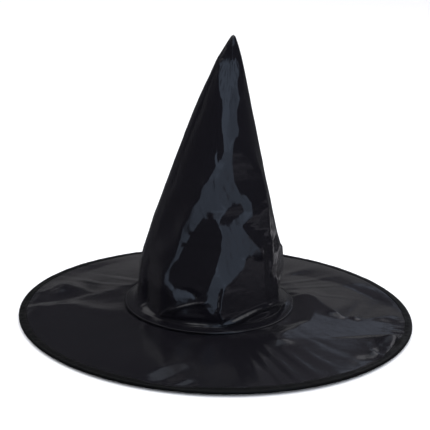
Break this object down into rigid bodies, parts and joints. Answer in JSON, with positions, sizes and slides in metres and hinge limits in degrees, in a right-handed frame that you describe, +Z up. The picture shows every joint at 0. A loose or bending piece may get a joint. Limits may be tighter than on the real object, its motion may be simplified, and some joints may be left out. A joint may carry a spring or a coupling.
{
  "type": "witch hat",
  "caption": "Pointed black satin costume hat: a leaning stiffened cone sewn to a wide round brim with a wired, bound edge and a taped head opening.",
  "frame": {"origin": "on the floor at the centre of the brim, which the hat stands on", "axes": "+Z up through the crown towards the tip, the front towards -Y and the back seam towards +Y, +X to the right seen from the front"},
  "size_m": [0.4199, 0.42, 0.298],
  "materials": {
    "satin": "satin",
    "binding": "satin",
    "crown_stiffener": "matte",
    "brim_stiffener": "matte",
    "thread": "satin",
    "hoop_steel": "satin",
    "sleeve_metal": "satin"
  },
  "bodies": {
    "root": {"crown_cover": "satin", "crown_interlining": "crown_stiffener", "crown_seam_thread": "thread", "brim_top_cover": "satin", "brim_interlining": "brim_stiffener", "brim_under_cover": "satin", "brim_hoop_wire": "hoop_steel", "hoop_joint_sleeve": "sleeve_metal", "edge_binding": "binding", "edge_binding_thread": "thread", "headline_tape": "binding", "headline_tape_thread": "thread", "hem_thread": "thread"}
  },
  "joints": []
}
